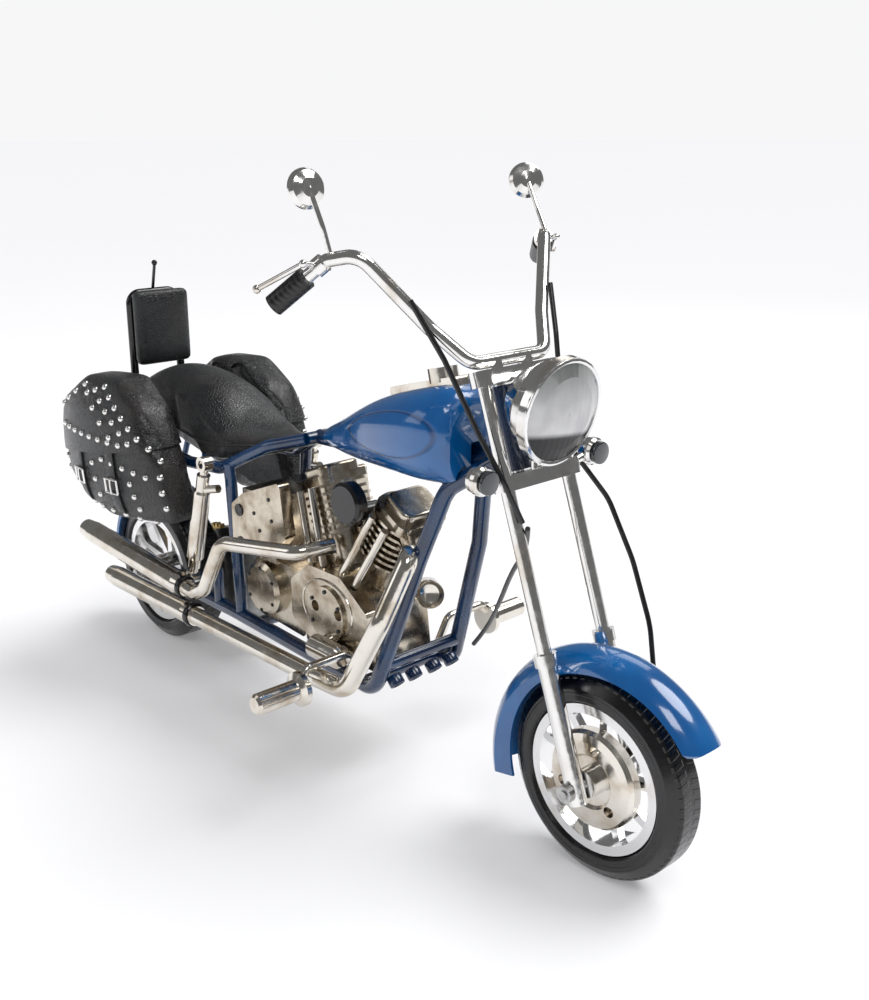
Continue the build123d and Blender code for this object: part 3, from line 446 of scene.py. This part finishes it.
# %% Stage and lights
floor_paint = Finish("floor")
haze = floor_paint.noise(2.0)
floor_paint.set(Base_Color=haze.mix((0.78, 0.78, 0.80), (0.80, 0.80, 0.81)), Roughness=0.9,
                Emission_Color=(0.95, 0.95, 0.96), Emission_Strength=0.19)
bpy.ops.mesh.primitive_plane_add(size=60.0, location=(-0.3, 0.3, 0.0))
floor = bpy.context.object
floor.name = "floor"
floor.data.materials.append(floor_paint.material)

world = bpy.data.worlds.new("studio")
bpy.context.scene.world = world
world.use_nodes = True
sky = world.node_tree
sky.nodes["Background"].inputs["Color"].default_value = (0.93, 0.93, 0.94, 1.0)
ray = sky.nodes.new("ShaderNodeLightPath")
seen = Wire(sky, ray.outputs["Is Camera Ray"])
mirrored = Wire(sky, ray.outputs["Is Glossy Ray"])
feed(sky, sky.nodes["Background"].inputs["Strength"], seen * 0.44 - mirrored * 0.40 + 0.56)


def panel(name, place, size, power, aim=Vector((0.0, 0.0, 0.08))):
    """A soft square lamp that faces the bike."""
    light = bpy.data.lights.new(name, "AREA")
    light.shape = "SQUARE"
    light.size = size
    light.energy = power
    lamp = bpy.data.objects.new(name, light)
    lamp.location = Vector(place)
    lamp.rotation_euler = (aim - Vector(place)).to_track_quat("-Z", "Y").to_euler()
    bpy.context.scene.collection.objects.link(lamp)


panel("key_light", (0.65, -0.35, 1.0), 0.35, 2.2)
panel("fill_light", (-0.55, -0.85, 0.55), 0.5, 0.9)
panel("back_light", (-0.4, 0.9, 0.8), 0.5, 1.2)
sun = bpy.data.lights.new("overhead", "SUN")
sun.energy = 1.75
sun.angle = math.radians(35)
overhead = bpy.data.objects.new("overhead", sun)
overhead.rotation_euler = Vector((0.30, 0.55, 1.0)).to_track_quat("Z", "Y").to_euler()
bpy.context.scene.collection.objects.link(overhead)

# %% [markdown]
# ## Seat and backrest
# The seat is leather over padding: a low nose and a hump that falls away at the sides.
# Its padding is a slightly shrunken copy of the plain solid, remeshed evenly, crowned,
# and then blown up as cloth, so that it swells and creases like a stuffed cover.


# %% The padding recipe
def cloth_pad(node, voxel, shrink, cap, shape=None, pressure=4.0):
    """A soft copy of a plain solid: remeshed, shaped, swollen by a cloth simulation, smoothed."""
    source = nodes[node]
    pad = bpy.data.objects.new(node + "_soft", source.data.copy())
    bpy.context.scene.collection.objects.link(pad)
    pick(pad)
    bpy.ops.object.mode_set(mode="EDIT")
    bpy.ops.mesh.select_all(action="SELECT")
    bpy.ops.mesh.remove_doubles(threshold=0.00001)
    bpy.ops.object.mode_set(mode="OBJECT")
    modifier(pad, "REMESH", mode="VOXEL", voxel_size=voxel)
    low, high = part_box(node)
    middle = (low + high) / 2
    size = high - low
    for v in pad.data.vertices:
        for axis in range(3):
            v.co[axis] = middle[axis] + (v.co[axis] - middle[axis]) * (1 - 2 * shrink / size[axis])
        if shape:
            shape(v.co, low, high)
    rest = [v.co.copy() for v in pad.data.vertices]
    cloth = pad.modifiers.new("cloth", "CLOTH")
    cloth.settings.use_pressure = True
    cloth.settings.uniform_pressure_force = pressure
    cloth.settings.quality = 6
    cloth.settings.mass = 0.05
    cloth.settings.tension_stiffness = 30
    cloth.settings.compression_stiffness = 8
    cloth.settings.effector_weights.gravity = 0.0
    cloth.collision_settings.use_collision = False
    for step in range(1, 21):
        bpy.context.scene.frame_set(step)
    pick(pad)
    bpy.ops.object.modifier_apply(modifier="cloth")
    bpy.context.scene.frame_set(1)
    for v, start in zip(pad.data.vertices, rest):
        move = v.co - start
        if move.length > cap:
            v.co = start + move.normalized() * cap
    modifier(pad, "SMOOTH", factor=0.5, iterations=3)
    modifier(pad, "SUBSURF", levels=1, render_levels=1)
    for v in pad.data.vertices:
        for axis in range(3):
            v.co[axis] = min(max(v.co[axis], low[axis]), high[axis])
    return pad


def crowned_seat(co, low, high):
    """The top falls away towards the sides, most at the hump."""
    across = abs(co.y) / 0.020
    height = max(0.0, co.z - 0.108)
    co.z -= height * 0.42 * across ** 2.2


def pinched_pad(co, low, high):
    """The pad bulges in the middle and thins towards its edges."""
    wide = abs(co.y) / 0.014
    tall = abs(co.z - (low.z + high.z) / 2) / 0.017
    middle = (low.x + high.x) / 2
    co.x = middle + (co.x - middle) * (1.0 - 0.35 * max(wide, tall) ** 4)


seat = cloth_pad("seat", 0.0015, 0.0006, 0.0012, crowned_seat)
settle(seat, "seat_cover", "frame", seat_leather, 60)
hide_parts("seat")
backrest = cloth_pad("backrest_pad", 0.0011, 0.0004, 0.0008, pinched_pad)
settle(backrest, "backrest_cushion", "frame", seat_leather, 60)
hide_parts("backrest_pad")


# %% [markdown]
# Studs, straps and welts are seated by casting a line onto the finished cover.

# %% Surface seeker and welts
class Surface:
    """Finds where a line meets a piece, to seat studs, straps and seams on it."""

    def __init__(self, piece):
        self.tree = BVHTree.FromObject(piece, bpy.context.evaluated_depsgraph_get())

    def hit(self, start, way):
        place, normal, index, reach = self.tree.ray_cast(Vector(start), Vector(way))
        return place, normal


def round_cord(points, radius, cyclic=False, sides=8):
    """A smooth round cord through control points, as a mesh."""
    curve = bpy.data.curves.new("cord", "CURVE")
    curve.dimensions = "3D"
    curve.bevel_depth = radius
    curve.bevel_resolution = sides // 4
    curve.use_fill_caps = True
    line = curve.splines.new("NURBS")
    line.points.add(len(points) - 1)
    for p, place in zip(line.points, points):
        p.co = (*place, 1.0)
    line.order_u = 3
    line.use_endpoint_u = not cyclic
    line.use_cyclic_u = cyclic
    line.resolution_u = 6
    piece = bpy.data.objects.new("cord", curve)
    bpy.context.scene.collection.objects.link(piece)
    pick(piece)
    bpy.ops.object.convert(target="MESH")
    return bpy.context.object


seat_face = Surface(seat)
welt_points = []
for k in range(13):
    x = -0.128 + 0.100 * k / 12
    z = 0.1125 if x < -0.06 else 0.1125 + (x + 0.06) * 0.12
    place, normal = seat_face.hit((x, -0.06, z), (0, 1, 0))
    if place:
        welt_points.append(place + normal * 0.0002)
for side in (1, -1):
    welt = [Vector((p.x, p.y * side, p.z)) for p in welt_points]
    name = "seat_welt_" + ("right" if side > 0 else "left")
    settle(round_cord(welt, 0.0006), name, "frame", seat_leather)

# %% [markdown]
# ## Saddlebags
# Each bag is a stiff leather shell, slim at its front edge and full in the middle. A lid
# flap folds over the top, two straps with buckles hold it down, and domed studs run in
# rows along the lid, the front edge and the body.


# %% Bag body
def bag_shape(co, low, high):
    """Full in the middle, slim towards the front edge, top and bottom."""
    along = (co.x - low.x) / (high.x - low.x)
    tall = (co.z - low.z) / (high.z - low.z)
    front = max(0.0, (along - 0.45) / 0.55)
    back = max(0.0, (0.40 - along) / 0.40)
    top = max(0.0, (tall - 0.55) / 0.45)
    foot = max(0.0, (0.35 - tall) / 0.35)
    full = 1.0 - 0.40 * front ** 1.6 - 0.28 * back ** 2 - 0.30 * top ** 2 - 0.22 * foot ** 2
    inner = 0.0229
    side = 1 if co.y > 0 else -1
    co.y = side * (inner + (abs(co.y) - inner) * full)


def flap(bag, side):
    """The lid: the upper part of the bag's skin, lifted and thickened, cut on a slant."""
    lid = bpy.data.objects.new("lid", bag.data.copy())
    bpy.context.scene.collection.objects.link(lid)
    pick(lid)
    bpy.ops.object.mode_set(mode="EDIT")
    bpy.ops.mesh.select_all(action="SELECT")
    bpy.ops.mesh.bisect(plane_co=(-0.100, 0.0, 0.1085), plane_no=(-0.16, side * 0.05, 1.0),
                        clear_inner=True)
    bpy.ops.mesh.select_all(action="SELECT")
    bpy.ops.mesh.bisect(plane_co=(0.0, side * 0.0246, 0.0), plane_no=(0.0, side, 0.0), clear_inner=True)
    bpy.ops.object.mode_set(mode="OBJECT")
    modifier(lid, "SOLIDIFY", thickness=0.0011, offset=1.0)
    return lid


def stud_spots(face, side, rows):
    """Places for studs: each row is a run of (x, z) points, cast onto the bag from outside."""
    spots = []
    for row in rows:
        for x, z in row:
            place, normal = face.hit((x, side * 0.09, z), (0, -side, 0))
            if place:
                spots.append((place + normal * 0.0001, normal))
    return spots


def run(start, end, count):
    """Evenly spaced points from start to end."""
    points = []
    for k in range(count):
        t = k / (count - 1)
        points.append((start[0] + (end[0] - start[0]) * t, start[1] + (end[1] - start[1]) * t))
    return points


def stud(radius):
    """A domed rivet head: a low sphere cut flat underneath."""
    deselect()
    bpy.ops.mesh.primitive_uv_sphere_add(segments=12, ring_count=8, radius=radius)
    piece = bpy.context.object
    bpy.ops.object.mode_set(mode="EDIT")
    bpy.ops.mesh.select_all(action="SELECT")
    bpy.ops.transform.resize(value=(1.0, 1.0, 0.75))
    bpy.ops.mesh.bisect(plane_co=(0, 0, -0.0002), plane_no=(0, 0, 1), use_fill=True, clear_inner=True)
    bpy.ops.object.mode_set(mode="OBJECT")
    return piece


def ribbon(face, side, x, z_high, z_low, width, thickness, lean=0.0):
    """A strap that follows the bag's face from top to bottom."""
    count = 22
    deselect()
    bpy.ops.mesh.primitive_grid_add(x_subdivisions=2, y_subdivisions=count, size=1.0)
    piece = bpy.context.object
    for v in piece.data.vertices:
        t = v.co.y + 0.5
        z = z_high + (z_low - z_high) * t
        px = x + v.co.x * width + lean * t
        place, normal = face.hit((px, side * 0.09, z), (0, -side, 0))
        v.co = (place + normal * 0.0004) if place else Vector((px, side * 0.030, z))
    modifier(piece, "SOLIDIFY", thickness=thickness, offset=0.0)
    modifier(piece, "BEVEL", width=thickness * 0.3, segments=2)
    pick(piece)
    bpy.ops.object.mode_set(mode="EDIT")
    bpy.ops.mesh.select_all(action="SELECT")
    bpy.ops.mesh.normals_make_consistent(inside=False)
    bpy.ops.object.mode_set(mode="OBJECT")
    return piece


def buckle(place, normal, width):
    """A square wire buckle with its tongue."""
    half = width / 2
    corners = [(-half, -half * 0.8), (half, -half * 0.8), (half, half * 0.8), (-half, half * 0.8)]
    frame_ring = round_cord([(a, b, 0.0008) for a, b in corners for _ in (0, 1)], 0.00055, cyclic=True)
    tongue = round_cord([(0, -half * 0.9, 0.0012), (0, 0, 0.0016), (0, half * 0.8, 0.0012)], 0.0004)
    piece = joined([frame_ring, tongue])
    piece.data.transform(Matrix.Translation(place) @ normal.to_track_quat("Z", "Y").to_matrix().to_4x4())
    return piece


# %% [markdown]
# The two bags are alike, mirrored across the middle of the bike.

# %% Both bags
stud_metal = plated("stud_nickel", (0.90, 0.89, 0.87), (0.80, 0.77, 0.72), 0.16, 0.2, 200.0)
for name, side in (("right", -1), ("left", 1)):
    bag = cloth_pad("saddlebag_" + name, 0.0017, 0.0008, 0.0016, bag_shape, 5.0)
    settle(bag, "bag_body_" + name, "frame", bag_leather, 60)
    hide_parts("saddlebag_" + name)
    lid = settle(flap(bag, side), "bag_lid_" + name, "frame", bag_leather, 60)
    body_face, lid_face = Surface(bag), Surface(lid)
    lid_rows = [run((-0.108, 0.1330), (-0.078, 0.1110), 7), run((-0.114, 0.1310), (-0.088, 0.1120), 6),
                run((-0.120, 0.1290), (-0.100, 0.1130), 4), run((-0.146, 0.1200), (-0.124, 0.1320), 4),
                run((-0.142, 0.1120), (-0.094, 0.1105), 8)]
    body_rows = [run((-0.0745, 0.1060), (-0.0715, 0.0860), 4), run((-0.108, 0.1020), (-0.080, 0.0985), 5),
                 run((-0.151, 0.1050), (-0.1475, 0.0900), 4), run((-0.140, 0.0800), (-0.082, 0.0775), 8),
                 run((-0.116, 0.0990), (-0.113, 0.0850), 3), run((-0.090, 0.0940), (-0.087, 0.0830), 3)]
    spots = stud_spots(lid_face, side, lid_rows) + stud_spots(body_face, side, body_rows)
    settle(placed(stud(0.0015), spots), "bag_studs_" + name, "frame", stud_metal)
    straps = []
    buckles = []
    for x in (-0.128, -0.102):
        straps.append(ribbon(body_face, side, x, 0.1075, 0.0790, 0.0055, 0.0011, 0.002))
        place, normal = body_face.hit((x + 0.001, side * 0.09, 0.0915), (0, -side, 0))
        buckles.append(buckle(place + normal * 0.0006, normal, 0.0078))
    settle(joined(straps), "bag_straps_" + name, "frame", bag_leather)
    settle(joined(buckles), "bag_buckles_" + name, "frame", stud_metal)

# %% [markdown]
# ## Small fittings
# Fasteners, the horn, the clamps on the silencers, the glass in mirrors and signals and
# the reflector edge are small turned or bent pieces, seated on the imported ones.


# %% Turned fittings
def disc(place, normal, radius, height, inset=0.0, segments=32, bevel=0.25):
    """A low turned button: a cylinder with a bevelled rim and, when asked, a sunk face."""
    deselect()
    bpy.ops.mesh.primitive_cylinder_add(vertices=segments, radius=radius, depth=height)
    piece = bpy.context.object
    bpy.ops.object.mode_set(mode="EDIT")
    bpy.ops.mesh.select_all(action="SELECT")
    bpy.ops.mesh.normals_make_consistent(inside=False)
    bpy.ops.mesh.select_all(action="DESELECT")
    bpy.ops.object.mode_set(mode="OBJECT")
    for face in piece.data.polygons:
        face.select = face.normal.z > 0.9
    bpy.ops.object.mode_set(mode="EDIT")
    if inset:
        bpy.ops.mesh.inset(thickness=radius * inset)
        bpy.ops.transform.translate(value=(0, 0, -height * 0.35))
    bpy.ops.object.mode_set(mode="OBJECT")
    modifier(piece, "BEVEL", width=height * bevel, segments=2)
    piece.data.transform(Matrix.Translation(Vector(place)) @
                         Vector(normal).to_track_quat("Z", "Y").to_matrix().to_4x4())
    return piece


def hexes(spots, radius, height):
    """Hexagon screw heads at several places."""
    return joined([disc(place, normal, radius, height, segments=6, bevel=0.2) for place, normal in spots])


out = (0, -1, 0)
cam_y, gear_y, box_y = (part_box(name)[0].y for name in ("cam_cover", "gearbox", "battery_box"))
centre_x, centre_z = 0.014, 0.060
screws = [((centre_x + 0.0092 * math.cos(a), cam_y, centre_z + 0.0092 * math.sin(a)), out)
          for a in [math.radians(90 + 60 * k) for k in range(6)]]
screws += [((-0.033 + 0.0092 * math.cos(a), gear_y + 0.0002, 0.056 + 0.0092 * math.sin(a)), out)
           for a in [math.radians(30 + 60 * k) for k in range(6)]]
settle(hexes(screws, 0.0009, 0.0012), "engine_screws", "frame", black_paint)
battery_spots = [((x, box_y, z), out) for x, z in ((-0.0405, 0.0895), (-0.0405, 0.0755), (-0.030, 0.0905),
                                                       (-0.0265, 0.0840), (-0.0195, 0.0985), (-0.018, 0.0900))]
settle(hexes(battery_spots[2:], 0.0009, 0.0008), "battery_screws", "frame", black_paint)
settle(joined([disc(p, n, 0.0026, 0.0012, 0.35) for p, n in battery_spots[:2]]), "battery_knobs", "frame",
       black_paint)
line = round_cord([(centre_x + 0.0125 * math.cos(a) * 1.25, cam_y + 0.0012,
                    centre_z + 0.002 + 0.0118 * math.sin(a))
                   for a in [math.radians(30 * k) for k in range(12)]], 0.0005, cyclic=True)
settle(line, "cam_cover_bead", "frame", warm_nickel)

horn = disc((0.052, -0.002, 0.075), (0.75, -0.55, 0.2), 0.0052, 0.014, 0.22)
settle(horn, "horn", "frame", warm_nickel)
knobs = [disc((0.0468, y, 0.0415), (0.6, 0, -0.6), 0.0030, 0.0045, 0.2)
         for y in (-0.014, -0.005, 0.005, 0.014)]
settle(joined(knobs), "front_knobs", "frame", dark_blue)


def hoop(centre, way, radius, width, thickness=0.0007):
    """A band around a pipe."""
    deselect()
    bpy.ops.mesh.primitive_torus_add(major_radius=radius, minor_radius=thickness, major_segments=32,
                                     minor_segments=8)
    piece = bpy.context.object
    piece.data.transform(Matrix.Diagonal((1, 1, width / (2 * thickness), 1)))
    turn = Vector(way).to_track_quat("Z", "Y").to_matrix().to_4x4()
    piece.data.transform(Matrix.Translation(Vector(centre)) @ turn)
    return piece


clamps = [hoop((-0.0602, -0.038, 0.0546), (-0.087, 0, 0.005), 0.0042, 0.0026),
          hoop((-0.0545, -0.038, 0.0436), (-1, 0, -0.014), 0.0045, 0.0030)]
settle(joined(clamps), "exhaust_clamps", "frame", black_paint)

# %% [markdown]
# These ride on the fork, so that they turn with it.

# %% Lamp rim, signal and mirror glasses
nod = math.radians(-9)
lamp_way = Vector((math.cos(nod), 0, math.sin(nod)))
lamp_rim = hoop(Vector((0.1112, 0, 0.1528)) + lamp_way * 0.0006, lamp_way, 0.0170, 0.0022, 0.0009)
settle(lamp_rim, "headlight_rim", "steering", chrome)
dark_glass = coloured_glass("signal_glass", (0.03, 0.035, 0.04))
signals = [disc((0.1062, y, 0.1336), (1, 0, 0), 0.0039, 0.0016, 0.0) for y in (-0.0266, 0.0266)]
settle(joined(signals), "signal_lenses", "steering", dark_glass)
mirror_glass = plated("mirror_glass", (0.80, 0.82, 0.83), (0.74, 0.76, 0.78), 0.03, 0.1, 30.0)
mirror_faces = [(Vector((0.0485, -0.0492, 0.2201)), Vector((-0.93, 0.12, -0.20)).normalized()),
                (Vector((0.0488, 0.0492, 0.2201)), Vector((-0.82, 0.52, -0.24)).normalized())]
faces = [disc(place + way * 0.00125, way, 0.0056, 0.0006) for place, way in mirror_faces]
settle(joined(faces), "mirror_glasses", "steering", mirror_glass)

# %% [markdown]
# ## The brake cable
# The cable leaves the fork and ends on the lower rail.
# It is a smooth curve through the imported cable's own corner points.

# %% Cable across the steering joint
route = [(110.3, -13.0, 116.8), (103.0, -5.0, 106.0), (88.0, 4.0, 92.0), (72.0, 14.5, 72.0), (57.0, 24.0, 55.0),
         (48.5, 25.0, 45.0)]
cable = round_cord([[c * MM for c in p] for p in route], 0.0009)
settle(cable, "brake_cable_curve", None, cable_black)
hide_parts("brake_cable")
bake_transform(cable)

# %% Finish
print("done")
